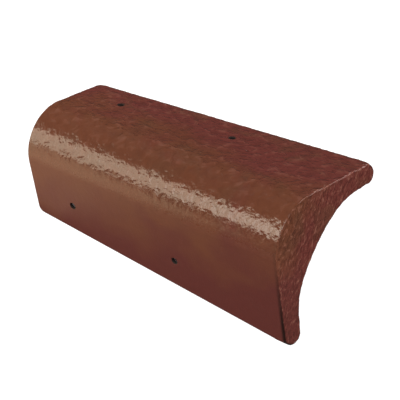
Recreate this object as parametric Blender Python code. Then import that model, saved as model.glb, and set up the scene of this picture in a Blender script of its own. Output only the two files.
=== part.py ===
"""Ridge end cap tile: a tapered ridge tile whose wide end is closed by an arched wall.

It is one moulded shell. Two flat wings meet in a round crown of one radius, and each wing gets
shorter towards the narrow, open end. The wall at the wide end is cut out in a three-centred
arch that leaves a round-ended foot below each wing. A lip runs inward from the arch and round
the feet, and each wing has two nail holes.

The shape is worked out in the crown's own frame: X runs along the crown from the narrow end,
Z is 0 on top of the crown, and the tile is symmetric in Y. The finished tile is then tipped
about Y until it rests on its feet and on the narrow end's lower edges, with the origin on that
ground, under the middle of the tile.
"""

from math import acos, atan2, copysign, cos, pi, radians, sin, sqrt, tan

import bmesh
import bpy
from mathutils import Euler, Matrix, Vector
from mathutils.geometry import convex_hull_2d

# Sizes of the shell
CROWN_LENGTH = 0.432
WIDE_END_WIDTH = 0.257
NARROW_END_WIDTH = 0.197
WING_ANGLE = radians(38.5)  # between a wing and the upright
CROWN_RADIUS = 0.059
WALL = 0.0045
NARROW_CORNER_RADIUS = 0.008

# Sizes of the closed end
END_WALL = 0.0050
LIP_DEPTH = 0.020  # from the outer face to the lip's inner edge
FOOT_DROP = 0.1475  # from the top of the crown to the foot's lowest point
FOOT_RADIUS = 0.0130
ARCH_DROP = 0.0915  # from the top of the crown to the top of the arch
ARCH_CROWN_RADIUS = 0.190
ARCH_SHOULDER_RADIUS = 0.083
ARCH_SIDE_ANGLE = radians(42)  # between the arch's straight side and the upright
EDGE_RADIUS = 0.0015  # between the end's face and its sides, at the crown and the arch
FOOT_EDGE_RADIUS = 0.0050  # the same, on the outer side of a foot
EDGE_SHARE = 1.2  # the largest such radius, as a share of the wall behind it

# Sizes of the nail holes
NAIL_HOLE_DIAMETER = 0.0095
FIRST_NAIL = 0.072  # from the narrow end
NAIL_PITCH = 0.181
NAIL_ABOVE_EDGE = 0.0425
CUT_THROUGH = 0.004  # how far a cutter runs past each face

# How finely the round stretches are divided
CROWN_STEPS = 24
WING_STEPS = 4
CORNER_STEPS = 5
EDGE_STEPS = 4
ARC_STEPS = 12
FOOT_STEPS = 14
HOLE_SIDES = 24


def wing_direction():
    """Down the wing on the +Y side, as (y, z)."""
    return Vector((sin(WING_ANGLE), -cos(WING_ANGLE)))


def wing_normal():
    """Out of the wing on the +Y side, as (y, z)."""
    return Vector((cos(WING_ANGLE), sin(WING_ANGLE)))


def apex():
    """Where the planes of the two wings would meet above the crown."""
    return Vector((0.0, CROWN_RADIUS / sin(WING_ANGLE) - CROWN_RADIUS))


def on_wing(distance):
    """The point of the +Y wing's outer face that is this far from the apex."""
    return apex() + distance * wing_direction()


def wing_reach(x):
    """Distance from the apex to the wing's lower edge at this place along the crown."""
    narrow = NARROW_END_WIDTH / 2 / sin(WING_ANGLE)
    wide = WIDE_END_WIDTH / 2 / sin(WING_ANGLE)
    reach = narrow + (wide - narrow) * x / CROWN_LENGTH
    if x < NARROW_CORNER_RADIUS:
        run = NARROW_CORNER_RADIUS - x
        reach -= NARROW_CORNER_RADIUS - sqrt(NARROW_CORNER_RADIUS**2 - run**2)
    return reach


def lip_place():
    """Where the lip's inner edge crosses the crown's line."""
    return CROWN_LENGTH - LIP_DEPTH


def shell_stations():
    """Places along the crown where the open shell has a ring of points."""
    corner = [
        NARROW_CORNER_RADIUS * (1 - cos(pi / 2 * step / CORNER_STEPS))
        for step in range(CORNER_STEPS + 1)
    ]
    return corner + [lip_place()]


def mitre(first, second):
    """The offset that moves a corner by one along both of its normals."""
    return (first + second) / (1 + first.dot(second))


def section(reach):
    """Half of the outer section from the crown's top to the wing's edge: (point, normal) pairs.

    The last normal is mitred with the upright side of the foot.
    """
    pairs = []
    centre = Vector((0.0, -CROWN_RADIUS))
    turn = pi / 2 - WING_ANGLE
    for step in range(CROWN_STEPS // 2 + 1):
        angle = turn * step / (CROWN_STEPS // 2)
        normal = Vector((sin(angle), cos(angle)))
        pairs.append((centre + CROWN_RADIUS * normal, normal))
    flat_start = CROWN_RADIUS / tan(WING_ANGLE)
    for step in range(1, WING_STEPS + 1):
        distance = flat_start + (reach - flat_start) * step / WING_STEPS
        pairs.append((on_wing(distance), wing_normal()))
    pairs[-1] = (pairs[-1][0], mitre(wing_normal(), Vector((1.0, 0.0))))
    return pairs


def arc(centre, radius, start, end, steps):
    """(point, radial direction) pairs on an arc; angles are turned from +Y towards +Z."""
    pairs = []
    for step in range(steps + 1):
        angle = start + (end - start) * step / steps
        direction = Vector((cos(angle), sin(angle)))
        pairs.append((centre + radius * direction, direction))
    return pairs


def foot_and_arch():
    """The +Y half of the end's lower outline, from below the wing's edge to the arch's top.

    It drops plumb from the wing's edge, goes round the foot, up a straight side, round the
    shoulder and along the arch's crown. Each point has the normal that leads out of the wall.
    """
    foot_side = on_wing(wing_reach(lip_place())).x
    foot_centre = Vector((foot_side - FOOT_RADIUS, FOOT_RADIUS - FOOT_DROP))
    arch_centre = Vector((0.0, -ARCH_DROP - ARCH_CROWN_RADIUS))

    # The shoulder's arc touches the crown's arc from inside and the straight side from below.
    side_normal = Vector((cos(ARCH_SIDE_ANGLE), sin(ARCH_SIDE_ANGLE)))
    side_reach = (foot_centre - arch_centre).dot(side_normal) - FOOT_RADIUS
    between_centres = ARCH_CROWN_RADIUS - ARCH_SHOULDER_RADIUS
    crown_join = ARCH_SIDE_ANGLE + acos((side_reach - ARCH_SHOULDER_RADIUS) / between_centres)
    towards_join = Vector((cos(crown_join), sin(crown_join)))
    shoulder_centre = arch_centre + between_centres * towards_join

    foot = arc(foot_centre, FOOT_RADIUS, 0.0, ARCH_SIDE_ANGLE - pi, FOOT_STEPS)
    shoulder = arc(
        shoulder_centre, ARCH_SHOULDER_RADIUS, ARCH_SIDE_ANGLE, crown_join, ARC_STEPS
    )
    crown = arc(arch_centre, ARCH_CROWN_RADIUS, crown_join, pi / 2, ARC_STEPS // 2)
    inward = [(point, -direction) for point, direction in shoulder + crown[1:]]
    return foot + inward


def mirrored(pairs):
    """The same pairs on the -Y side, in the opposite order."""
    return [
        (Vector((-point.x, point.y)), Vector((-normal.x, normal.y)))
        for point, normal in reversed(pairs)
    ]


def edge_radius(point, normal):
    """The closed end's outer edge gets rounder down the wings; the arch's edge stays fine."""
    share = min(-point.y / FOOT_DROP, 1.0) ** 2
    facing = max(copysign(1.0, point.x) * normal.x, 0.0)
    radius = EDGE_RADIUS + (FOOT_EDGE_RADIUS - EDGE_RADIUS) * share * facing
    return min(radius, EDGE_SHARE * WALL, EDGE_SHARE * END_WALL)


def inset(pairs, distance):
    return [point - distance * normal for point, normal in pairs]


def add_ring(shell, x, points):
    return [shell.verts.new((x, point.x, point.y)) for point in points]


def join_rings(shell, first, second, closed=False):
    """Quads between two rings of points; closed also joins the last points to the first."""
    count = len(first)
    for index in range(count if closed else count - 1):
        following = (index + 1) % count
        shell.faces.new((first[index], first[following], second[following], second[index]))


def build_tile_mesh():
    shell = bmesh.new()
    outer_rings = []
    inner_rings = []
    for x in shell_stations():
        half = section(wing_reach(x))
        pairs = mirrored(half)[:-1] + half
        outer_rings.append(add_ring(shell, x, inset(pairs, 0.0)))
        inner_rings.append(add_ring(shell, x, inset(pairs, WALL)))

    # Outer skin, inner skin, the rim of the open end and the wings' lower edges
    for first, second in zip(outer_rings, outer_rings[1:]):
        join_rings(shell, first, second)
    for first, second in zip(inner_rings, inner_rings[1:]):
        join_rings(shell, first, second)
    join_rings(shell, outer_rings[0], inner_rings[0])
    for side in (0, -1):
        outer_edge = [ring[side] for ring in outer_rings]
        inner_edge = [ring[side] for ring in inner_rings]
        join_rings(shell, outer_edge, inner_edge)

    # The lip's inner edge, which closes the last rings below into two whole outlines
    half_lower = foot_and_arch()
    lower = half_lower + mirrored(half_lower)[1:]
    lower_outer = add_ring(shell, lip_place(), inset(lower, 0.0))
    lower_inner = add_ring(shell, lip_place(), inset(lower, WALL))
    join_rings(
        shell,
        outer_rings[-1][-1:] + lower_outer + outer_rings[-1][:1],
        inner_rings[-1][-1:] + lower_inner + inner_rings[-1][:1],
    )

    # Inside of the lip and of the end wall
    half = section(wing_reach(lip_place()))
    outline = mirrored(half)[:-1] + half + lower
    pocket = add_ring(shell, CROWN_LENGTH - END_WALL, inset(outline, WALL))
    join_rings(shell, inner_rings[-1] + lower_inner, pocket, closed=True)
    shell.faces.new(pocket)

    # Outside of the lip, the end's rounded edge and the flat outer face
    previous = outer_rings[-1] + lower_outer
    for step in range(EDGE_STEPS + 1):
        turn = pi / 2 * step / EDGE_STEPS
        ring = []
        for point, normal in outline:
            radius = edge_radius(point, normal)
            place = point - radius * (1 - cos(turn)) * normal
            ring.append(shell.verts.new((CROWN_LENGTH - radius * (1 - sin(turn)), *place)))
        join_rings(shell, previous, ring, closed=True)
        previous = ring
    shell.faces.new(previous)

    bmesh.ops.recalc_face_normals(shell, faces=shell.faces)
    mesh = bpy.data.meshes.new("ridge_end_cap_tile")
    shell.to_mesh(mesh)
    shell.free()
    mesh.shade_smooth()
    mesh.set_sharp_from_angle(angle=radians(30))
    return mesh


def nail_holes():
    """(place along the crown, distance from the apex) of each nail hole of a wing."""
    places = []
    for number in range(2):
        x = FIRST_NAIL + number * NAIL_PITCH
        places.append((x, wing_reach(x) - NAIL_ABOVE_EDGE))
    return places


def add_nail_cutter(tile, number, side, x, distance):
    point = on_wing(distance) - WALL / 2 * wing_normal()
    bpy.ops.mesh.primitive_cylinder_add(
        vertices=HOLE_SIDES,
        radius=NAIL_HOLE_DIAMETER / 2,
        depth=WALL + 2 * CUT_THROUGH,
    )
    cutter = bpy.context.object
    cutter.name = f"nail_cutter_{number}"
    cutter.parent = tile
    cutter.location = (x, side * point.x, point.y)
    cutter.rotation_euler = (-side * (pi / 2 - WING_ANGLE), 0.0, 0.0)
    cutter.hide_render = True
    cutter.display_type = "WIRE"

    cut = tile.modifiers.new(cutter.name, "BOOLEAN")
    cut.operation = "DIFFERENCE"
    cut.solver = "EXACT"
    cut.object = cutter


def moulded_plastic():
    material = bpy.data.materials.new("moulded_plastic")
    material.use_nodes = True
    shader = material.node_tree.nodes["Principled BSDF"]
    shader.inputs["Base Color"].default_value = (0.145, 0.045, 0.030, 1.0)
    shader.inputs["Roughness"].default_value = 0.35
    shader.inputs["Metallic"].default_value = 0.0
    return material


def resting_tip(mesh):
    """The turn about Y that lays the tile's lowest edges on the ground."""
    profile = [Vector((vertex.co.x, vertex.co.z)) for vertex in mesh.vertices]
    outline = [profile[index] for index in convex_hull_2d(profile)]
    middle = CROWN_LENGTH / 2
    for start, end in zip(outline, outline[1:] + outline[:1]):
        left, right = sorted((start, end), key=lambda corner: corner.x)
        below_all = right.y < -CROWN_RADIUS
        if left.x < middle < right.x and below_all:
            return atan2(right.y - left.y, right.x - left.x)
    return 0.0


def stand_on_ground(tile):
    """Tips the tile onto its lowest edges and sets the origin under its middle."""
    tip = Euler((0.0, resting_tip(tile.data), 0.0)).to_matrix()
    corners = [tip @ vertex.co for vertex in tile.data.vertices]
    low = [min(corner[axis] for corner in corners) for axis in range(3)]
    high = [max(corner[axis] for corner in corners) for axis in range(3)]
    middle = Vector(((low[0] + high[0]) / 2, (low[1] + high[1]) / 2, low[2]))
    tile.matrix_world = Matrix.Translation(-middle) @ tip.to_4x4()


def main():
    for leftover in list(bpy.data.objects):
        bpy.data.objects.remove(leftover)

    tile = bpy.data.objects.new("ridge_end_cap_tile", build_tile_mesh())
    bpy.context.collection.objects.link(tile)
    tile.data.materials.append(moulded_plastic())
    stand_on_ground(tile)

    number = 0
    for side in (-1, 1):
        for x, distance in nail_holes():
            number += 1
            add_nail_cutter(tile, number, side, x, distance)


main()
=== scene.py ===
"""Looks of the ridge end cap tile: one moulded shell with its grain, in glossy terracotta brown.

The shell is worked out in the crown's own frame, as the solid is: X runs along the crown from
the narrow end, Z is 0 on top of the crown, and the tile is symmetric in Y. The frame's solid
gives the place where that frame stands.
"""

from math import acos, atan2, copysign, cos, pi, radians, sin, sqrt, tan

import bmesh
import bpy
import numpy as np
from mathutils import Matrix, Vector, noise


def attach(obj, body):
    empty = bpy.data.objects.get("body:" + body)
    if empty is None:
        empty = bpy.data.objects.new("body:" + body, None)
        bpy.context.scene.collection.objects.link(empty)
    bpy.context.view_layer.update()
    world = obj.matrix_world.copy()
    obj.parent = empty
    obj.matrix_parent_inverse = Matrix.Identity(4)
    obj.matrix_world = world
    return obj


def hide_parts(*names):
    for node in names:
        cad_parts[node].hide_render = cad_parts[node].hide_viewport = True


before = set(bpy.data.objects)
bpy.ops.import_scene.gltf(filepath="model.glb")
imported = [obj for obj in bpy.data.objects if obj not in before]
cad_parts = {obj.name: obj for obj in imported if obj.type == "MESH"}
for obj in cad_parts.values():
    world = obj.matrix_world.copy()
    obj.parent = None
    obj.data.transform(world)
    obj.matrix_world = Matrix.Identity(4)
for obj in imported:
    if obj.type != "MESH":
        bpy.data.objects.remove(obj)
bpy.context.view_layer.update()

NODE = "ridge_end_cap_tile"

# Sizes of the shell, as in the solid
CROWN_LENGTH = 0.432
WIDE_END_WIDTH = 0.257
NARROW_END_WIDTH = 0.197
WING_ANGLE = radians(38.5)  # between a wing and the upright
CROWN_RADIUS = 0.059
WALL = 0.0045
NARROW_CORNER_RADIUS = 0.008
WING_START = CROWN_RADIUS * cos(WING_ANGLE)  # from the middle across to where a wing starts

# Sizes of the closed end
END_WALL = 0.0050
LIP_DEPTH = 0.020
FOOT_DROP = 0.1475
FOOT_RADIUS = 0.0130
ARCH_DROP = 0.0915
ARCH_CROWN_RADIUS = 0.190
ARCH_SHOULDER_RADIUS = 0.083
ARCH_SIDE_ANGLE = radians(42)
EDGE_RADIUS = 0.0015
FOOT_EDGE_RADIUS = 0.0050
EDGE_SHARE = 1.2  # the roundest that an edge may be, as a share of the wall's thickness

# Sizes of the nail holes
NAILS_TO_A_WING = 2
NAIL_HOLE_DIAMETER = 0.0095
FIRST_NAIL = 0.072
NAIL_PITCH = 0.181
NAIL_ABOVE_EDGE = 0.0425
NAIL_RIM_RADIUS = 0.0007  # the rounding of a hole's edge
CUT_THROUGH = 0.004

# The fine mesh: how many cells run along each stretch of the outer skin
CROWN_CELLS = 35  # from the crown's top to the wing, about 1.6 mm each
WING_CELLS = 80
CORNER_CELLS = 10
LENGTH_CELLS = 250
LIP_CELLS = 10
EDGE_CELLS = 4  # round the closed end's edge, and round a nail hole's
FOOT_CELLS = 20  # from the wing's edge to the foot's lowest point
END_CELLS = 45  # from the crown's top down to the arch
HOLE_SIDES = 48
COARSE = 5  # fine cells to each cell of the plain inside
INNER_BAND = 0.004  # from an open edge to the first row of the plain inside
RIM_RADIUS = 0.0007  # the rounding of every open edge
RIM_CELLS = 4
SHARP_ANGLE = radians(35)
SLIVER = 1e-5  # edges shorter than this are merged
ON_THE_RIDGE = 1e-6  # how far from the middle a corner of the solid's ridge may lie

# The moulded grain
GRAIN_DEPTH = 0.0008  # of the deepest hollows
GRAIN_SIZES = (0.0100, 0.0050)  # across the hollows, coarse and fine
GRAIN_SHARES = (0.5, 0.5)
GRAIN_SEED = 1  # of the warp that bends the hollows
GRAIN_SHIFT = Vector((7.3, 1.9, 4.1))  # picks another stretch of the same noise
GRAIN_LEVEL = 0.45  # what is higher in the noise is left level
WARP_SIZE = 2.5  # of the warp that bends the hollows, to their own size
WARP_REACH = 0.6
CROWN_SHARE = 0.38  # how much of the +Y wing's grain the crown has
SMOOTH_SHARE = 0.06  # and the -Y wing
SMOOTH_FROM = 0.42  # where the grain starts to fade, as a share of the way to the -Y wing
SMOOTH_BY = 0.78  # and where it has faded
GRAIN_FADES = (-SMOOTH_BY * WING_START, -SMOOTH_FROM * WING_START)

# Colours
BROWN = (0.143, 0.047, 0.0235)
WARM_BROWN = (0.178, 0.057, 0.028)
MAROON = (0.142, 0.035, 0.027)
OLIVE = (0.122, 0.050, 0.027)
# Painted shade, for the line at the -Y wing's end edge and for the insides of the nail holes
PAINTED_SHADE = (0.012, 0.006, 0.004)
# Painted shade in the folds' hollows, then painted glints on their ridges
SHADED = (0.045, 0.012, 0.008)
PAINTED_GLINT = (0.310, 0.125, 0.085)
WHITE = (1.0, 1.0, 1.0)

# Noise patterns of the material, each as its scale, detail and distortion
NOISE_MIDDLE = 0.5
DRIFT_PATTERN = (13.0, 2.0, 0.4)
PATCH_PATTERN = (24.0, 3.0, 0.8)
WING_FOLD_PATTERN = (85.0, 2.0, 0.5)
END_FOLD_PATTERN = (250.0, 3.0, 0.8)
CURL_PATTERN = (170.0, 2.0, 0.0)
FINE_PATTERN = (420.0, 2.0, 0.0)
GLOSS_PATTERN = (160.0, 3.0, 0.0)

# Where the colours lie. A pair says where a change starts and where it is complete.
MAROON_HEIGHTS = (-0.010, -0.070)
DRIFT_RANGE = 0.15  # how far the line between brown and maroon strays
LENGTH_LEAN = (0.020, -0.025)  # how much browner the narrow end is, and redder the wide end
SIDE_LEAN_ACROSS = (-0.020, -0.050)
SIDE_LEAN = 0.012  # how much browner the -Y wing is
WARM_ACROSS = (-0.020, -0.045)
PATCH_LEVELS = (0.50, 0.66)
PATCH_SHARE = 0.45
PATCHES_ACROSS = (-0.050, -0.020)
FEWEST_PATCHES = 0.1  # on the -Y wing, as a share of the patches elsewhere
# The painted shade line along the -Y wing's edge with the end wall
EDGE_SHADE_FROM_FACE = (0.0075, 0.0040)  # back from the end wall's face
EDGE_SHADE_AT_FACE = (0.0010, 0.0016)
EDGE_SHADE_ACROSS = (-0.020, -0.040)
EDGE_SHADE_HEIGHTS = (-0.030, -0.100)
EDGE_SHADE_SHARES = (0.20, 0.90)  # at those heights
SKIN_DEPTHS = (-0.6 * WALL, -0.4 * WALL)  # from the plain inside to the outer skin
HOLE_SHADE = (0.0006, 0.0002)  # outside a nail hole's own radius, where its painted shade starts and is full

# The folds, with painted shade in their hollows and painted glints on their ridges. The second of
# two shares or depths is the end wall's.
END_FROM_FACE = (0.0030, 0.0015)  # where the end wall's folds take over, back from its face
END_FOLD_TURN = radians(20)
END_FOLD_STRETCH = 2.0
HOLLOW_LEVELS = (0.50, 0.36)
SHADED_SHARES = (0.20, 0.45)
RIDGE_LEVELS = (0.58, 0.66)
GLINT_SHARES = (0.22, 0.55)
FOLD_DEPTHS = (0.0029, 0.0013)
CURL_DEPTH = 0.0007
CURL_STRENGTHS = (0.15, 0.9)  # on the -Y wing, and elsewhere
FINE_DEPTH = 0.0004
FINE_STRENGTH = 0.30

# Gloss
GLOSS_LEVELS = (0.3, 0.7)
GLOSS_ROUGHNESS = (0.12, 0.20)
DULL_BY = 1.1  # where the -Y wing is dullest, as a share of the way to it
DULL_WING = 0.20  # added on the -Y wing
DULL_INSIDE = 0.30  # added on the inside
HOLE_ROUGHNESS = 0.8

# Camera
CAMERA_PLACE = (1.02578, -0.17484, 1.98599)
CAMERA_TARGET = (0.05281, -0.00616, 0.08576)
CAMERA_ROLL = radians(-56.17)
LENS = 149.77

# Floor: it glows evenly, but for the tile's footprint, which is a painted shadow
FLOOR_REACH = 6.0
FLOOR_GREY = (0.3, 0.3, 0.3)
FLOOR_ROUGHNESS = 0.9
FLOOR_GLOW = 0.95
FOOTPRINT_TAPER = (WIDE_END_WIDTH - NARROW_END_WIDTH) / 2 / CROWN_LENGTH
FOOTPRINT_MIDDLE = (WIDE_END_WIDTH + NARROW_END_WIDTH) / 4
FOOTPRINT_SIDES = (0.004, 0.018)  # in from the footprint's sides
FOOTPRINT_WIDE_END = (0.190, 0.160)
FOOTPRINT_NARROW_END = (-0.215, -0.185)

# Light
WORLD_LEVEL = 0.20
WORLD_GLOSS_LEVEL = 0.03  # as reflections see it
TILE_MIDDLE = (-0.010, -0.011, 0.118)
HIGHLIGHT_ROLL = radians(-22.5)  # lays the long highlight along the crown


# The shape of the shell

def wing_direction():
    """Down the wing on the +Y side, as (y, z)."""
    return Vector((sin(WING_ANGLE), -cos(WING_ANGLE)))


def wing_normal():
    """Out of the wing on the +Y side, as (y, z)."""
    return Vector((cos(WING_ANGLE), sin(WING_ANGLE)))


def on_wing(distance):
    """The point of the +Y wing's outer face this far from where the wings' planes meet."""
    apex = Vector((0.0, CROWN_RADIUS / sin(WING_ANGLE) - CROWN_RADIUS))
    return apex + distance * wing_direction()


def wing_reach(x, inset=0.0):
    """Distance to the wing's lower edge, or to a line inset from that edge and its corner."""
    narrow = NARROW_END_WIDTH / 2 / sin(WING_ANGLE)
    wide = WIDE_END_WIDTH / 2 / sin(WING_ANGLE)
    reach = narrow + (wide - narrow) * x / CROWN_LENGTH - inset
    if x < NARROW_CORNER_RADIUS:
        radius = NARROW_CORNER_RADIUS - inset
        run = min(NARROW_CORNER_RADIUS - x, radius)
        reach -= radius - sqrt(radius**2 - run**2)
    return reach


def lip_place():
    """Where the lip's inner edge crosses the crown's line."""
    return CROWN_LENGTH - LIP_DEPTH


def in_space(x, point):
    """A point or direction of the shell from its X and its (y, z)."""
    return Vector((x, point.x, point.y))


def mitre(first, second):
    """The offset that moves a corner by one along both of its normals."""
    return (first + second) / (1 + first.dot(second))


# Outlines across the crown, as lists of (point, normal) pairs in (y, z)

def section(reach):
    """Half of the outer section, from the crown's top to a wing's edge."""
    pairs = []
    centre = Vector((0.0, -CROWN_RADIUS))
    turn = pi / 2 - WING_ANGLE
    for step in range(CROWN_CELLS + 1):
        angle = turn * step / CROWN_CELLS
        normal = Vector((sin(angle), cos(angle)))
        pairs.append((centre + CROWN_RADIUS * normal, normal))
    flat_start = CROWN_RADIUS / tan(WING_ANGLE)
    for step in range(1, WING_CELLS + 1):
        distance = flat_start + (reach - flat_start) * step / WING_CELLS
        pairs.append((on_wing(distance), wing_normal()))
    return pairs


def mirrored(pairs):
    """The same pairs on the -Y side, in the opposite order."""
    return [
        (Vector((-point.x, point.y)), Vector((-normal.x, normal.y)))
        for point, normal in reversed(pairs)
    ]


def whole_section(x, inset):
    """The outer section between the wings' edges, or between two lines inset from them."""
    half = section(wing_reach(x, inset))
    return mirrored(half)[:-1] + half


def arc(centre, radius, start, end, steps):
    """(point, radial direction) pairs on an arc; angles are turned from +Y towards +Z."""
    pairs = []
    for step in range(steps + 1):
        angle = start + (end - start) * step / steps
        direction = Vector((cos(angle), sin(angle)))
        pairs.append((centre + radius * direction, direction))
    return pairs


def resampled(pairs, cells):
    """The same line with evenly spaced points."""
    lengths = [0.0]
    for (first, _), (second, _) in zip(pairs, pairs[1:]):
        lengths.append(lengths[-1] + (second - first).length)
    wanted = np.linspace(0.0, lengths[-1], cells + 1)
    columns = []
    for part in range(2):
        for axis in range(2):
            columns.append(np.interp(wanted, lengths, [pair[part][axis] for pair in pairs]))
    return [
        (Vector((y, z)), Vector((normal_y, normal_z)).normalized())
        for y, z, normal_y, normal_z in np.transpose(columns).tolist()
    ]


def foot_outside():
    """From the wing's edge at the lip, plumb down and round to the foot's lowest point."""
    start = on_wing(wing_reach(lip_place()))
    centre = Vector((start.x - FOOT_RADIUS, FOOT_RADIUS - FOOT_DROP))
    round_part = arc(centre, FOOT_RADIUS, 0.0, -pi / 2, FOOT_CELLS)
    return resampled([(start, Vector((1.0, 0.0)))] + round_part, FOOT_CELLS)


def arch_inside():
    """From the foot's lowest point, up the straight side and along the arch to its top."""
    start = on_wing(wing_reach(lip_place()))
    foot_centre = Vector((start.x - FOOT_RADIUS, FOOT_RADIUS - FOOT_DROP))
    arch_centre = Vector((0.0, -ARCH_DROP - ARCH_CROWN_RADIUS))
    side_normal = Vector((cos(ARCH_SIDE_ANGLE), sin(ARCH_SIDE_ANGLE)))
    side_reach = (foot_centre - arch_centre).dot(side_normal) - FOOT_RADIUS
    between_centres = ARCH_CROWN_RADIUS - ARCH_SHOULDER_RADIUS
    crown_join = ARCH_SIDE_ANGLE + acos((side_reach - ARCH_SHOULDER_RADIUS) / between_centres)
    towards_join = Vector((cos(crown_join), sin(crown_join)))
    shoulder_centre = arch_centre + between_centres * towards_join

    foot = arc(foot_centre, FOOT_RADIUS, -pi / 2, ARCH_SIDE_ANGLE - pi, FOOT_CELLS)
    shoulder = arc(shoulder_centre, ARCH_SHOULDER_RADIUS, ARCH_SIDE_ANGLE, crown_join, END_CELLS)
    crown = arc(arch_centre, ARCH_CROWN_RADIUS, crown_join, pi / 2, END_CELLS)
    inward = [(point, -direction) for point, direction in shoulder + crown[1:]]
    return resampled(foot + inward, CROWN_CELLS + WING_CELLS + FOOT_CELLS)


def lower_outline():
    """Feet and arch, from the +Y wing's edge to the -Y wing's edge."""
    half = foot_outside() + arch_inside()[1:]
    return half + mirrored(half)[1:]


def closed_end_outline(lower):
    """The closed end's whole outline: crown and wings, then feet and arch."""
    half = section(wing_reach(lip_place()))
    half[-1] = (half[-1][0], mitre(wing_normal(), Vector((1.0, 0.0))))
    return mirrored(half)[:-1] + half + lower[1:-1]


def edge_radius(point, normal):
    """The closed end's outer edge gets rounder down the wings; the arch's edge stays fine."""
    share = min(-point.y / FOOT_DROP, 1.0) ** 2
    facing = max(copysign(1.0, point.x) * normal.x, 0.0)
    radius = EDGE_RADIUS + (FOOT_EDGE_RADIUS - EDGE_RADIUS) * share * facing
    return min(radius, EDGE_SHARE * WALL, EDGE_SHARE * END_WALL)


def shell_stations(inset):
    """Places along the crown of the rows between the open end and the lip's inner edge."""
    radius = NARROW_CORNER_RADIUS - inset
    corner = [
        NARROW_CORNER_RADIUS - radius * cos(pi / 2 * step / CORNER_CELLS)
        for step in range(CORNER_CELLS)
    ]
    length = np.linspace(NARROW_CORNER_RADIUS, lip_place() + RIM_RADIUS, LENGTH_CELLS + 1)
    return corner + length.tolist()


# The moulded grain

def held(value, low, high):
    """From 0 at low to 1 at high, and held beyond them."""
    return min(max((value - low) / (high - low), 0.0), 1.0)


def grain_strength(point):
    """Full on the end wall and the +Y wing, less on the crown, least on the -Y wing."""
    if point.x > CROWN_LENGTH - EDGE_RADIUS:
        return 1.0
    side = (1.0 - CROWN_SHARE) * held(point.y, 0.0, WING_START)
    faded = held(-point.y, SMOOTH_FROM * WING_START, SMOOTH_BY * WING_START)
    return CROWN_SHARE + side - (CROWN_SHARE - SMOOTH_SHARE) * faded


def grain_depth(point):
    """How far the moulded surface lies below its smooth form."""
    height = 0.0
    for size, share in zip(GRAIN_SIZES, GRAIN_SHARES):
        warp = noise.noise_vector(point / (WARP_SIZE * size)) * WARP_REACH * size
        height += share * noise.noise((point + warp) / size + GRAIN_SHIFT)
    return GRAIN_DEPTH * grain_strength(point) * held(GRAIN_LEVEL - height, 0.0, 1.0)


# The mesh

class Shell:
    """Points and faces of one mesh. A row is a list of point numbers."""

    def __init__(self):
        self.points = []
        self.smooth = {}
        self.faces = []

    def add(self, point):
        self.points.append(point)
        return len(self.points) - 1

    def add_moulded(self, point, normal):
        """A point of the outer skin, sunk by the grain. Its smooth place is kept too."""
        number = self.add(point - grain_depth(point) * normal)
        self.smooth[number] = point
        return number

    def join(self, first, second, closed=False):
        """Quads between two rows; closed also joins their ends."""
        count = len(first)
        for index in range(count if closed else count - 1):
            following = (index + 1) % count
            self.faces.append((first[index], first[following], second[following], second[index]))

    def join_coarse(self, fine, coarse):
        """Faces between a fine row and one that has every so many of its points."""
        for index in range(len(coarse) - 1):
            stretch = fine[index * COARSE:(index + 1) * COARSE + 1]
            middle = COARSE // 2
            self.add_fan(coarse[index], stretch[:middle + 1])
            self.faces.append((stretch[middle], coarse[index + 1], coarse[index]))
            self.add_fan(coarse[index + 1], stretch[middle:])

    def add_fan(self, tip, row):
        """Triangles from one point to a row."""
        for first, second in zip(row, row[1:]):
            self.faces.append((tip, first, second))

    def as_mesh(self):
        mesh = bpy.data.meshes.new("moulded_tile")
        mesh.from_pydata(self.points, [], self.faces)
        mesh.update(calc_edges=True)
        return mesh


def wing_border(x, side):
    """(outer corner, inner corner, way out of the edge) where a row ends at a wing's edge."""
    along = Vector((0.0, side * wing_direction().x, wing_direction().y))
    inward = mitre(wing_normal(), Vector((1.0, 0.0)))
    outward = along
    reach = wing_reach(x)
    place = x
    if x < NARROW_CORNER_RADIUS:
        radius = NARROW_CORNER_RADIUS - RIM_RADIUS
        across = min((NARROW_CORNER_RADIUS - x) / radius, 1.0)
        down = sqrt(1.0 - across**2)
        outward = Vector((-across, 0.0, 0.0)) + down * along
        reach = wing_reach(x, RIM_RADIUS) + RIM_RADIUS * down
        place = x - RIM_RADIUS * across
        inward = wing_normal().lerp(inward, down)
    corner = on_wing(reach)
    outer = Vector((place, side * corner.x, corner.y))
    inner = outer - WALL * Vector((0.0, side * inward.x, inward.y))
    return outer, inner, outward


def end_border(x, pair):
    """The same for a point of the narrow end's edge or of the lip's edge."""
    point, normal = pair
    outer = in_space(x, point)
    return outer, outer - WALL * in_space(0.0, normal), Vector((-1.0, 0.0, 0.0))


def add_skin(shell, stations, border):
    """The outer skin of crown and wings, from the open end to the lip's inner edge."""
    skin = []
    for x in stations:
        pairs = whole_section(x, RIM_RADIUS)
        row = []
        for point, normal in pairs:
            row.append(shell.add_moulded(in_space(x, point), in_space(0.0, normal)))
        for column, side in ((0, -1), (-1, 1)):
            border[row[column]] = (in_space(x, pairs[column][0]), *wing_border(x, side))
        skin.append(row)
    for first, second in zip(skin, skin[1:]):
        shell.join(first, second)
    for number, pair in zip(skin[0], whole_section(stations[0], RIM_RADIUS)):
        if number not in border:
            border[number] = (in_space(stations[0], pair[0]), *end_border(0.0, pair))
    return skin


def add_lip_row(shell, x, lower, skin_row, border):
    """Feet and arch at the lip's inner edge, and the corners where they meet the wings."""
    lip_row = []
    for pair in lower[1:-1]:
        place = in_space(x, pair[0])
        number = shell.add_moulded(place, in_space(0.0, pair[1]))
        border[number] = (place, *end_border(lip_place(), pair))
        lip_row.append(number)
    for number in (skin_row[0], skin_row[-1]):
        smooth, _, _, outward = border[number]
        outer, inner, _ = wing_border(lip_place(), copysign(1.0, smooth.y))
        border[number] = (smooth, outer, inner, outward + Vector((-1.0, 0.0, 0.0)))
    return lip_row


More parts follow.
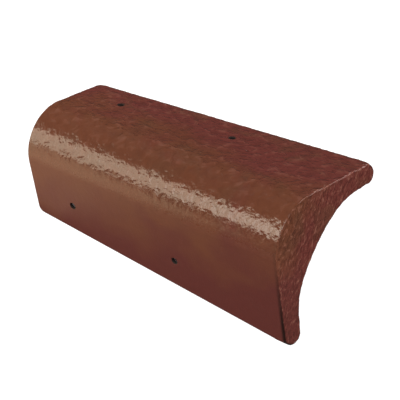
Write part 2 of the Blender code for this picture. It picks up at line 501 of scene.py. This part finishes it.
def end_place(step, start, point, normal):
    """(place, way out) of a point on the closed end's sides or, after them, its rounded edge."""
    radius = edge_radius(point, normal)
    if step <= LIP_CELLS:
        share = step / LIP_CELLS
        x = start + (CROWN_LENGTH - radius - start) * share
        return in_space(x, point), in_space(0.0, normal)
    turn = pi / 2 * (step - LIP_CELLS) / EDGE_CELLS
    x = CROWN_LENGTH - radius * (1 - sin(turn))
    place = in_space(x, point - radius * (1 - cos(turn)) * normal)
    return place, in_space(sin(turn), cos(turn) * normal)


def add_end_sides(shell, start, outline, ring):
    """The closed end's sides and rounded edge, from a ring to the one round its face."""
    for step in range(1, LIP_CELLS + EDGE_CELLS + 1):
        row = []
        for point, normal in outline:
            row.append(shell.add_moulded(*end_place(step, start, point, normal)))
        shell.join(ring, row, closed=True)
        ring = row
    return ring


def add_end_face(shell, ring):
    """The flat face between the outline's outer half and the arch, with its grain."""
    half = CROWN_CELLS + WING_CELLS
    arch_top = 2 * half + FOOT_CELLS + half + FOOT_CELLS
    columns = []
    last = half + FOOT_CELLS
    for offset in range(-last, last + 1):
        top = ring[(half + offset) % len(ring)]
        bottom = ring[arch_top - offset]
        if top == bottom:
            columns.append([top])
            continue
        column = [top]
        for step in range(1, END_CELLS):
            place = shell.smooth[top].lerp(shell.smooth[bottom], step / END_CELLS)
            column.append(shell.add_moulded(place, Vector((1.0, 0.0, 0.0))))
        columns.append(column + [bottom])
    for first, second in zip(columns, columns[1:]):
        if len(first) == len(second):
            shell.join(first, second)
        elif len(first) == 1:
            shell.add_fan(first[0], second)
        else:
            shell.add_fan(second[0], first)


def add_rim(shell, loop, border):
    """Rounds the shell's open edge over to the inside; gives the last row, on the inside."""
    rows = [loop]
    for step in range(1, 2 * RIM_CELLS + 2):
        row = []
        for number, (smooth, outer, inner, outward) in zip(loop, border):
            start = shell.points[number]
            sunk = start - smooth
            across = (inner - outer).normalized()
            if step <= RIM_CELLS:
                share = step / RIM_CELLS
                ends = (start, outer + sunk, outer + sunk + RIM_RADIUS * across)
            else:
                share = (step - RIM_CELLS - 1) / RIM_CELLS
                ends = (inner - RIM_RADIUS * across, inner, inner - RIM_RADIUS * outward)
            row.append(shell.add(bend(ends, share)))
        shell.join(rows[-1], row, closed=True)
        rows.append(row)
    return rows[-1]


def bend(ends, share):
    """A point of the curve that leaves the first end towards the middle one."""
    first = ends[0].lerp(ends[1], share)
    second = ends[1].lerp(ends[2], share)
    return first.lerp(second, share)


def add_inside(shell, rim, outline):
    """The inner skin, the inside of the lip and the inside of the end wall."""
    inset = RIM_RADIUS + INNER_BAND
    grid = []
    for x in shell_stations(inset)[::COARSE]:
        grid.append([
            shell.add(in_space(x, point - WALL * normal))
            for point, normal in whole_section(x, inset)[::COARSE]
        ])
    for first, second in zip(grid, grid[1:]):
        shell.join(first, second)

    # The rim's last row starts at the +Y wing's edge by the lip and goes round the open end.
    along = CORNER_CELLS + LENGTH_CELLS
    across = 2 * (CROWN_CELLS + WING_CELLS)
    wing_part = rim[:along + 1]
    narrow_part = rim[along:along + across + 1]
    other_wing_part = rim[along + across:2 * along + across + 1]
    lip_part = rim[2 * along + across:] + rim[:1]
    shell.join_coarse(wing_part, [row[-1] for row in reversed(grid)])
    shell.join_coarse(narrow_part, list(reversed(grid[0])))
    shell.join_coarse(other_wing_part, [row[0] for row in grid])

    pocket = [
        shell.add(in_space(CROWN_LENGTH - END_WALL, point - WALL * normal))
        for point, normal in outline[::COARSE]
    ]
    columns = len(grid[-1])
    upper = pocket[:columns]
    lower = [upper[0]] + list(reversed(pocket[columns:])) + [upper[-1]]
    shell.join_coarse(lip_part, lower)
    shell.join(grid[-1][1:-1], upper[1:-1])
    shell.faces.append((grid[-1][1], grid[-1][0], lip_part[0], upper[0], upper[1]))
    shell.faces.append((grid[-1][-2], grid[-1][-1], lip_part[-1], upper[-1], upper[-2]))
    shell.faces.append(tuple(pocket))


def build_tile_mesh():
    """The whole shell but for its nail holes, as one closed mesh."""
    shell = Shell()
    stations = shell_stations(RIM_RADIUS)
    lower = lower_outline()
    outline = closed_end_outline(lower)
    border = {}
    skin = add_skin(shell, stations, border)
    lip_row = add_lip_row(shell, stations[-1], lower, skin[-1], border)
    face_ring = add_end_sides(shell, stations[-1], outline, skin[-1] + lip_row)
    add_end_face(shell, face_ring)

    # The open edges, then the plain inside
    wing_rows = [row[-1] for row in reversed(skin)]
    narrow_row = list(reversed(skin[0]))[1:-1]
    other_wing_rows = [row[0] for row in skin]
    loop = wing_rows + narrow_row + other_wing_rows + list(reversed(lip_row))
    rim = add_rim(shell, loop, [border[number] for number in loop])
    add_inside(shell, rim, outline)
    return shell.as_mesh()


def point_outwards(mesh):
    """Turns every face outwards and merges the slivers that a cut may leave."""
    shell = bmesh.new()
    shell.from_mesh(mesh)
    bmesh.ops.dissolve_degenerate(shell, dist=SLIVER, edges=shell.edges)
    bmesh.ops.recalc_face_normals(shell, faces=shell.faces)
    shell.to_mesh(mesh)
    shell.free()


# The nail holes

def nail_spots():
    """(place along the crown, distance down the wing) of each nail hole of a wing."""
    spots = []
    for number in range(NAILS_TO_A_WING):
        x = FIRST_NAIL + number * NAIL_PITCH
        spots.append((x, wing_reach(x) - NAIL_ABOVE_EDGE))
    return spots


def nail_places():
    """(point, way out of the wing) of every nail hole, on the sunk outer face."""
    places = []
    for side in (-1, 1):
        for x, down in nail_spots():
            point = on_wing(down)
            place = Vector((x, side * point.x, point.y))
            outward = Vector((0.0, side * wing_normal().x, wing_normal().y))
            places.append((place - grain_depth(place) * outward, outward))
    return places


def nail_profile():
    """(radius, height above the outer face) along a nail cutter, which flares at that face."""
    radius = NAIL_HOLE_DIAMETER / 2
    profile = [(radius, -WALL - CUT_THROUGH)]
    for step in range(EDGE_CELLS + 1):
        turn = pi / 2 * step / EDGE_CELLS
        rise = NAIL_RIM_RADIUS * (sin(turn) - 1)
        profile.append((radius + NAIL_RIM_RADIUS * (1 - cos(turn)), rise))
    profile.append((radius + NAIL_RIM_RADIUS, CUT_THROUGH))
    return profile


def make_nail_cutter():
    """All four cutters as one object, in the crown's own frame."""
    cutter = Shell()
    for place, outward in nail_places():
        turn = outward.to_track_quat("Z", "X")
        rows = []
        for radius, height in nail_profile():
            row = []
            for side in range(HOLE_SIDES):
                angle = 2 * pi * side / HOLE_SIDES
                spot = Vector((radius * cos(angle), radius * sin(angle), height))
                row.append(cutter.add(place + turn @ spot))
            rows.append(row)
        for first, second in zip(rows, rows[1:]):
            cutter.join(first, second, closed=True)
        cutter.faces.append(tuple(rows[0]))
        cutter.faces.append(tuple(rows[-1]))
    mesh = cutter.as_mesh()
    point_outwards(mesh)
    nails = bpy.data.objects.new("nail_cutter", mesh)
    bpy.context.collection.objects.link(nails)
    return nails


# The finished tile

def crown_placement():
    """Where the crown's own frame stands in the shared frame, read from the frame's solid."""
    corners = [vertex.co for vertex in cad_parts[NODE].data.vertices]
    ridge = [corner for corner in corners if abs(corner.y) < ON_THE_RIDGE]
    narrow_end = min(ridge, key=lambda corner: corner.x)
    wide_end = max(ridge, key=lambda corner: corner.z)
    tip = atan2(wide_end.z - narrow_end.z, wide_end.x - narrow_end.x)
    return Matrix.Translation(narrow_end) @ Matrix.Rotation(-tip, 4, "Y")


def make_tile():
    mesh = build_tile_mesh()
    point_outwards(mesh)
    tile = bpy.data.objects.new("moulded_tile", mesh)
    bpy.context.collection.objects.link(tile)

    nails = make_nail_cutter()
    cut = tile.modifiers.new("nail_holes", "BOOLEAN")
    cut.operation = "DIFFERENCE"
    cut.solver = "EXACT"
    cut.object = nails
    graph = bpy.context.evaluated_depsgraph_get()
    finished = bpy.data.meshes.new_from_object(tile.evaluated_get(graph))
    point_outwards(finished)
    tile.modifiers.clear()
    tile.data = finished
    bpy.data.objects.remove(nails)

    finished.shade_smooth()
    finished.set_sharp_from_angle(angle=SHARP_ANGLE)
    finished.materials.clear()
    finished.materials.append(moulded_plastic())
    finished.transform(crown_placement())
    return tile


# Materials

class Nodes:
    """Short ways to add the nodes of one material."""

    def __init__(self, material):
        material.use_nodes = True
        self.nodes = material.node_tree.nodes
        self.links = material.node_tree.links
        self.shader = self.nodes["Principled BSDF"]

    def feed(self, socket, value):
        """Sets a plain number on a socket, or links another node's output to it."""
        if isinstance(value, (int, float)):
            socket.default_value = value
        else:
            self.links.new(value, socket)

    def object_place(self):
        return self.nodes.new("ShaderNodeTexCoord").outputs["Object"]

    def moved(self, place, kind="POINT", **settings):
        """A place moved, turned or stretched, with settings named as on the Mapping node."""
        node = self.nodes.new("ShaderNodeMapping")
        node.vector_type = kind
        for name, value in settings.items():
            node.inputs[name].default_value = value
        self.links.new(place, node.inputs["Vector"])
        return node.outputs["Vector"]

    def parts(self, place):
        node = self.nodes.new("ShaderNodeSeparateXYZ")
        self.links.new(place, node.inputs["Vector"])
        return node.outputs["X"], node.outputs["Y"], node.outputs["Z"]

    def maths(self, operation, first, second=0.0):
        node = self.nodes.new("ShaderNodeMath")
        node.operation = operation
        self.feed(node.inputs[0], first)
        self.feed(node.inputs[1], second)
        return node.outputs["Value"]

    def plus(self, first, second):
        return self.maths("ADD", first, second)

    def minus(self, first, second):
        return self.maths("SUBTRACT", first, second)

    def times(self, first, second):
        return self.maths("MULTIPLY", first, second)

    def larger(self, first, second):
        return self.maths("MAXIMUM", first, second)

    def length(self, first, second):
        """The length of a way with these two sides at right angles."""
        squares = self.plus(self.maths("POWER", first, 2.0), self.maths("POWER", second, 2.0))
        return self.maths("SQRT", squares)

    def spread(self, value, span, levels=(0.0, 1.0)):
        """From one level to the other as the value runs over the span, and held beyond it."""
        node = self.nodes.new("ShaderNodeMapRange")
        names = ("From Min", "From Max", "To Min", "To Max")
        for name, number in zip(names, (*span, *levels)):
            node.inputs[name].default_value = number
        self.links.new(value, node.inputs["Value"])
        return node.outputs["Result"]

    def between(self, share, levels):
        """The first level where the share is 0, and the second where it is 1."""
        return self.spread(share, (0.0, 1.0), levels)

    def cloud(self, place, pattern):
        """A noise pattern, given as its scale, detail and distortion."""
        node = self.nodes.new("ShaderNodeTexNoise")
        for name, number in zip(("Scale", "Detail", "Distortion"), pattern):
            node.inputs[name].default_value = number
        self.links.new(place, node.inputs["Vector"])
        return node.outputs["Fac"]

    def mixed(self, share, first, second, kind="RGBA"):
        """The first colour or value where the share is 0, and the second where it is 1."""
        node = self.nodes.new("ShaderNodeMix")
        node.data_type = kind
        self.links.new(share, node.inputs["Factor"])
        for name, value in (("A", first), ("B", second)):
            if isinstance(value, tuple):
                node.inputs[name].default_value = (*value, 1.0)
            else:
                self.links.new(value, node.inputs[name])
        return node.outputs["Result"]

    def bump(self, height, depth, strength, under=None):
        """Relief on top of the relief under it."""
        node = self.nodes.new("ShaderNodeBump")
        self.feed(node.inputs["Height"], height)
        self.feed(node.inputs["Distance"], depth)
        self.feed(node.inputs["Strength"], strength)
        if under is not None:
            self.links.new(under, node.inputs["Normal"])
        return node.outputs["Normal"]


class TileNodes(Nodes):
    """The nodes of the tile's material, with a point's place in the crown's own frame."""

    def __init__(self, material):
        super().__init__(material)
        turn = crown_placement().inverted()
        self.place = self.moved(
            self.object_place(), Location=turn.to_translation(), Rotation=turn.to_euler()
        )
        self.along, self.across, self.height = self.parts(self.place)


def back_from_face(depths):
    """A span along the crown, from its distances behind the end wall's face."""
    return [CROWN_LENGTH - depth for depth in depths]


def from_wing_plane(tile, direction):
    """How far a point lies along a (y, z) direction from the line where the wings' planes meet."""
    sideways = tile.times(tile.maths("ABSOLUTE", tile.across), direction.x)
    upwards = tile.minus(tile.height, on_wing(0.0).y)
    return tile.plus(sideways, tile.times(upwards, direction.y))


def outer_skin(tile):
    """1 on the shell's outer face and 0 on its plain inside."""
    to_axis = tile.length(tile.across, tile.plus(tile.height, CROWN_RADIUS))
    over_crown = tile.minus(to_axis, CROWN_RADIUS)
    over_wing = from_wing_plane(tile, wing_normal())
    down = from_wing_plane(tile, wing_direction())
    on_wings = tile.maths("GREATER_THAN", down, CROWN_RADIUS / tan(WING_ANGLE))
    difference = tile.times(tile.minus(over_wing, over_crown), on_wings)
    return tile.spread(tile.plus(over_crown, difference), SKIN_DEPTHS)


def painted_hole_shade(tile):
    """The nail holes are dark inside: the mask of that painted shade."""
    down = from_wing_plane(tile, wing_direction())
    darkness = 0.0
    for x, nail_down in nail_spots():
        reach = tile.length(tile.minus(tile.along, x), tile.minus(down, nail_down))
        hole = tile.spread(reach, [NAIL_HOLE_DIAMETER / 2 + margin for margin in HOLE_SHADE])
        darkness = tile.larger(hole, darkness)
    return darkness


def painted_edge_shade(tile):
    """Painted shade along the -Y wing's edge with the end wall, thicker towards the foot."""
    band = tile.spread(tile.along, back_from_face(EDGE_SHADE_FROM_FACE))
    band = tile.times(band, tile.spread(tile.along, back_from_face(EDGE_SHADE_AT_FACE)))
    band = tile.times(band, tile.spread(tile.across, EDGE_SHADE_ACROSS))
    return tile.times(band, tile.spread(tile.height, EDGE_SHADE_HEIGHTS, EDGE_SHADE_SHARES))


def plain_colour(tile):
    """Brown near the crown, maroon down the wings, and olive in patches."""
    drift = tile.minus(tile.cloud(tile.place, DRIFT_PATTERN), NOISE_MIDDLE)
    drift = tile.times(drift, DRIFT_RANGE)
    lean = tile.spread(tile.along, (0.0, CROWN_LENGTH), LENGTH_LEAN)
    lean = tile.plus(lean, tile.spread(tile.across, SIDE_LEAN_ACROSS, (0.0, SIDE_LEAN)))
    lowness = tile.spread(tile.plus(tile.plus(tile.height, drift), lean), MAROON_HEIGHTS)
    brown = tile.mixed(tile.spread(tile.across, WARM_ACROSS), BROWN, WARM_BROWN)
    colour = tile.mixed(lowness, brown, MAROON)
    patches = tile.spread(tile.cloud(tile.place, PATCH_PATTERN), PATCH_LEVELS, (0.0, PATCH_SHARE))
    patches = tile.times(patches, tile.spread(tile.across, PATCHES_ACROSS, (FEWEST_PATCHES, 1.0)))
    return tile.mixed(patches, colour, OLIVE)


def fold_pattern(tile, on_end):
    """Leathery folds, finer and drawn out on the end wall."""
    drawn_out = tile.moved(
        tile.place, "TEXTURE",
        Rotation=(END_FOLD_TURN, 0.0, 0.0), Scale=(1.0, END_FOLD_STRETCH, 1.0)
    )
    wing_folds = tile.cloud(tile.place, WING_FOLD_PATTERN)
    end_folds = tile.cloud(drawn_out, END_FOLD_PATTERN)
    return tile.mixed(on_end, wing_folds, end_folds, "FLOAT")


def fold_cover(tile, on_end, outside):
    """Where the folds show: as the moulded grain does, and not on the inside."""
    side = tile.spread(tile.across, (0.0, WING_START), (CROWN_SHARE, 1.0))
    other_side = tile.spread(tile.across, GRAIN_FADES, (SMOOTH_SHARE / CROWN_SHARE, 1.0))
    return tile.larger(tile.times(tile.times(side, other_side), outside), on_end)


def folded_colour(tile, colour, folds, cover, on_end):
    """The colour with painted shade in the hollows of the folds and painted glints on their
    ridges.
    """
    hollows = tile.times(tile.spread(folds, HOLLOW_LEVELS), tile.between(on_end, SHADED_SHARES))
    colour = tile.mixed(tile.times(hollows, cover), colour, SHADED)
    ridges = tile.times(tile.spread(folds, RIDGE_LEVELS), tile.between(on_end, GLINT_SHARES))
    return tile.mixed(tile.times(ridges, cover), colour, PAINTED_GLINT)


def roughness(tile, outside, holes):
    """Glossy, duller down the -Y wing and on the inside, and dull in the nail holes."""
    gloss = tile.spread(tile.cloud(tile.place, GLOSS_PATTERN), GLOSS_LEVELS, GLOSS_ROUGHNESS)
    dulled = (-SMOOTH_FROM * WING_START, -DULL_BY * WING_START)
    dull = tile.spread(tile.across, dulled, (0.0, DULL_WING))
    dull = tile.plus(dull, tile.between(outside, (DULL_INSIDE, 0.0)))
    return tile.larger(tile.plus(gloss, dull), tile.times(holes, HOLE_ROUGHNESS))


def moulded_plastic():
    material = bpy.data.materials.new("moulded_plastic")
    tile = TileNodes(material)
    on_end = tile.spread(tile.along, back_from_face(END_FROM_FACE))
    outside = tile.larger(outer_skin(tile), on_end)
    folds = fold_pattern(tile, on_end)
    cover = fold_cover(tile, on_end, outside)
    holes = painted_hole_shade(tile)

    colour = folded_colour(tile, plain_colour(tile), folds, cover, on_end)
    # Painted shade along the -Y wing's end edge and inside the nail holes
    colour = tile.mixed(painted_edge_shade(tile), colour, PAINTED_SHADE)
    colour = tile.mixed(holes, colour, PAINTED_SHADE)
    tile.feed(tile.shader.inputs["Base Color"], colour)
    tile.feed(tile.shader.inputs["Roughness"], roughness(tile, outside, holes))

    curl_strength = tile.times(tile.spread(tile.across, GRAIN_FADES, CURL_STRENGTHS), outside)
    relief = tile.bump(folds, tile.between(on_end, FOLD_DEPTHS), cover)
    relief = tile.bump(tile.cloud(tile.place, CURL_PATTERN), CURL_DEPTH, curl_strength, relief)
    relief = tile.bump(tile.cloud(tile.place, FINE_PATTERN), FINE_DEPTH, FINE_STRENGTH, relief)
    tile.feed(tile.shader.inputs["Normal"], relief)
    return material


def lit_paper():
    """Pale paper that glows evenly by itself, but not under the tile: there its dark is a painted
    shadow.
    """
    material = bpy.data.materials.new("lit_paper")
    paper = Nodes(material)
    paper.shader.inputs["Base Color"].default_value = (*FLOOR_GREY, 1.0)
    paper.shader.inputs["Roughness"].default_value = FLOOR_ROUGHNESS
    paper.shader.inputs["Emission Color"].default_value = (*WHITE, 1.0)
    along, across, _ = paper.parts(paper.object_place())
    half_width = paper.plus(paper.times(along, FOOTPRINT_TAPER), FOOTPRINT_MIDDLE)
    to_side = paper.minus(half_width, paper.maths("ABSOLUTE", across))
    under = paper.spread(to_side, FOOTPRINT_SIDES)
    under = paper.times(under, paper.spread(along, FOOTPRINT_WIDE_END))
    under = paper.times(under, paper.spread(along, FOOTPRINT_NARROW_END))
    paper.feed(paper.shader.inputs["Emission Strength"], paper.between(under, (FLOOR_GLOW, 0.0)))
    return material


# Camera, floor and light

def aimed(place, target, roll=0.0):
    """A placing that looks from place to target, turned about that line."""
    look = Vector(target) - Vector(place)
    turn = look.to_track_quat("-Z", "Y").to_matrix().to_4x4()
    return Matrix.Translation(place) @ turn @ Matrix.Rotation(roll, 4, "Z")


def make_camera():
    camera = bpy.data.objects.new("camera", bpy.data.cameras.new("camera"))
    bpy.context.collection.objects.link(camera)
    camera.data.lens = LENS
    camera.matrix_world = aimed(CAMERA_PLACE, CAMERA_TARGET, CAMERA_ROLL)
    bpy.context.scene.camera = camera


def make_floor():
    mesh = bpy.data.meshes.new("floor")
    corners = [
        (across * FLOOR_REACH, along * FLOOR_REACH, 0.0)
        for across, along in ((-1, -1), (1, -1), (1, 1), (-1, 1))
    ]
    mesh.from_pydata(corners, [], [(0, 1, 2, 3)])
    mesh.materials.append(lit_paper())
    floor = bpy.data.objects.new("floor", mesh)
    bpy.context.collection.objects.link(floor)
    floor.visible_glossy = False
    floor.visible_diffuse = False


def make_world():
    """White all round, dim by itself and dimmer still in reflections."""
    world = bpy.data.worlds.new("studio")
    world.use_nodes = True
    nodes = world.node_tree.nodes
    links = world.node_tree.links
    glossy = nodes.new("ShaderNodeLightPath").outputs["Is Glossy Ray"]
    level = nodes.new("ShaderNodeMapRange")
    level.inputs["To Min"].default_value = WORLD_LEVEL
    level.inputs["To Max"].default_value = WORLD_GLOSS_LEVEL
    links.new(glossy, level.inputs["Value"])
    background = nodes["Background"]
    links.new(level.outputs["Result"], background.inputs["Strength"])
    background.inputs["Color"].default_value = (*WHITE, 1.0)
    bpy.context.scene.world = world


def make_softbox(name, place, target, size, power, colour=WHITE, roll=0.0, shine=True, fill=True):
    """A softbox that makes highlights (shine), lights the colour (fill), or does both."""
    light = bpy.data.lights.new(name, "AREA")
    light.shape = "RECTANGLE"
    light.size, light.size_y = size
    light.energy = power
    light.color = colour
    box = bpy.data.objects.new(name, light)
    bpy.context.collection.objects.link(box)
    box.matrix_world = aimed(place, target, roll)
    box.visible_camera = False
    box.visible_glossy = shine
    box.visible_diffuse = fill


def make_softboxes():
    # The long highlight along the crown
    make_softbox(
        "highlight_box", place=(-1.064, -0.352, 1.129), target=TILE_MIDDLE, size=(0.77, 1.9),
        power=19.0, colour=(1.0, 0.88, 0.66), roll=HIGHLIGHT_ROLL, fill=False
    )
    make_softbox(
        "wide_end_box", place=(-0.60, -0.466, 1.572), target=(0.454, -0.125, 0.561),
        size=(0.70, 0.9), power=5.2, colour=(0.98, 1.0, 0.95), roll=HIGHLIGHT_ROLL, fill=False
    )

    # Light from above and from each side
    make_softbox(
        "key_box", place=(0.90, 0.10, 1.95), target=TILE_MIDDLE, size=(1.2, 1.2), power=24.0
    )
    make_softbox(
        "back_box", place=(-0.95, 1.10, 0.45), target=TILE_MIDDLE, size=(0.6, 0.6),
        power=11.5, shine=False
    )
    make_softbox(
        "side_box", place=(-0.2, -1.45, 0.45), target=TILE_MIDDLE, size=(0.6, 0.6),
        power=6.2, colour=(1.0, 0.84, 0.84), shine=False
    )
    make_softbox(
        "narrow_box", place=(-1.1, 0.0, 0.6), target=TILE_MIDDLE, size=(0.5, 0.5),
        power=6.0, shine=False
    )
    make_softbox(
        "end_box", place=(1.2, 0.4, 0.4), target=(0.22, 0.0, 0.08), size=(0.5, 0.5),
        power=7.6, shine=False
    )

    # The sheen low on the -Y wing, what the floor sends back, and the glint round the end wall
    make_softbox(
        "sheen_card", place=(-1.073, -0.820, 0.363), target=(-0.083, 0.039, 0.031),
        size=(0.73, 0.72), power=3.1, colour=(1.0, 0.75, 0.47), fill=False
    )
    make_softbox(
        "floor_card", place=(-0.60, -0.44, 0.004), target=(-0.60, -0.44, 1.0),
        size=(0.80, 0.64), power=1.15, colour=(1.0, 0.70, 0.48)
    )
    make_softbox(
        "glint_box", place=(1.00, 1.25, 0.07), target=(0.19, 0.06, 0.11),
        size=(1.4, 0.10), power=17.0, colour=(1.0, 0.80, 0.70), fill=False
    )


def main():
    noise.seed_set(GRAIN_SEED)
    make_camera()
    tile = make_tile()
    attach(tile, "root")
    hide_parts(NODE)
    make_floor()
    make_world()
    make_softboxes()
    bpy.context.scene.view_settings.view_transform = "Standard"


main()
